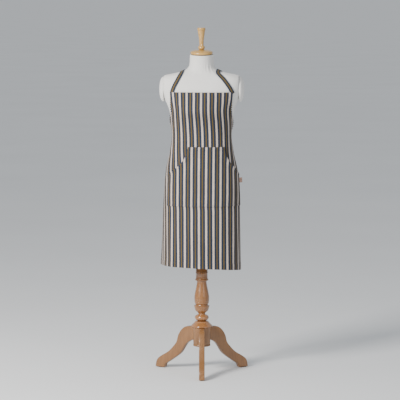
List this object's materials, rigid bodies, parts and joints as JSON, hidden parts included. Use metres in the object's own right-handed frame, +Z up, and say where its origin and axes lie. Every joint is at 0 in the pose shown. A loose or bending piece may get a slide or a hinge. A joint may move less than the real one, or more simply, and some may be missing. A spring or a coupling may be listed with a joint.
{
  "type": "bib apron on a dress form",
  "caption": "Striped cotton bib apron with a wide front pocket and neck strap, worn by a headless covered dress form on a turned wooden tripod stand with a sliding steel pole.",
  "frame": {"origin": "centre of the footprint box, on the plane that the foot pads rest on", "axes": "+Z up the stand, -Y towards the front of the apron, +X towards the form's left side"},
  "size_m": [0.4678, 0.4052, 1.7104],
  "materials": {
    "leg_wood": "satin varnished beech",
    "gloss_wood": "glossy varnish",
    "column_wood": "satin varnish",
    "golden_wood": "glossy golden varnish",
    "board_wood": "raw plywood",
    "steel": "brushed",
    "black_steel": "blackened",
    "felt": "felt",
    "form_shell": "moulded shell",
    "jersey": "off-white cotton jersey",
    "striped_cloth": "woven cotton with cream, navy and ochre stripes",
    "strap_cloth": "woven cotton band, navy with an ochre line",
    "label_cloth": "plain woven tab"
  },
  "bodies": {
    "stand": {"leg_front": "leg_wood", "leg_left": "leg_wood", "leg_right": "leg_wood", "foot_pad_front": "felt", "foot_pad_left": "felt", "foot_pad_right": "felt", "leg_bolt_front": "black_steel", "leg_bolt_left": "black_steel", "leg_bolt_right": "black_steel", "hub": "leg_wood", "tie_rod": "black_steel", "rod_nut": "black_steel", "rod_washer": "black_steel", "flange_and_bead": "gloss_wood", "baluster": "column_wood", "upper_column": "column_wood", "clamp_collar": "steel"},
    "clamp_screw": {"clamp_screw": "black_steel"},
    "pole": {"pole": "steel"},
    "form": {"form_shell": "form_shell", "jersey_cover": "jersey", "base_board": "board_wood", "pole_socket": "steel", "neck_cap": "golden_wood", "apron_panel": "striped_cloth", "pocket_panel": "striped_cloth", "neck_strap": "strap_cloth", "waist_tie_right": "strap_cloth", "waist_tie_left": "strap_cloth", "bow_knot": "strap_cloth", "bow_loop_right": "strap_cloth", "bow_loop_left": "strap_cloth", "tie_end_right": "strap_cloth", "tie_end_left": "strap_cloth", "side_label": "label_cloth"},
    "finial": {"finial": "golden_wood", "finial_screw": "steel"},
    "arm_cap_right": {"arm_cap_right": "jersey"},
    "arm_cap_left": {"arm_cap_left": "jersey"}
  },
  "joints": [
    {"name": "height_adjust", "type": "slide", "parent": "stand", "child": "pole", "axis": [0, 0, 1], "range_m": [-0.1, 0.05]},
    {"name": "form_swivel", "type": "hinge", "parent": "pole", "child": "form", "pos_m": [0, 0.05944, 0.8], "axis": [0, 0, 1], "continuous": true},
    {"name": "clamp_screw_turn", "type": "hinge", "parent": "stand", "child": "clamp_screw", "pos_m": [0, 0.05944, 0.5652], "axis": [0, 1, 0], "continuous": true},
    {"name": "finial_unscrew", "type": "hinge", "parent": "form", "child": "finial", "pos_m": [-0.00108, 0.04716, 1.60119], "axis": [-0.0084, -0.0955, 0.9954], "continuous": true},
    {"name": "arm_cap_right_pull", "type": "slide", "parent": "form", "child": "arm_cap_right", "axis": [-0.9962, 0.0872, 0], "range_m": [0, 0.04]},
    {"name": "arm_cap_left_pull", "type": "slide", "parent": "form", "child": "arm_cap_left", "axis": [0.9962, -0.0872, 0], "range_m": [0, 0.04]}
  ]
}
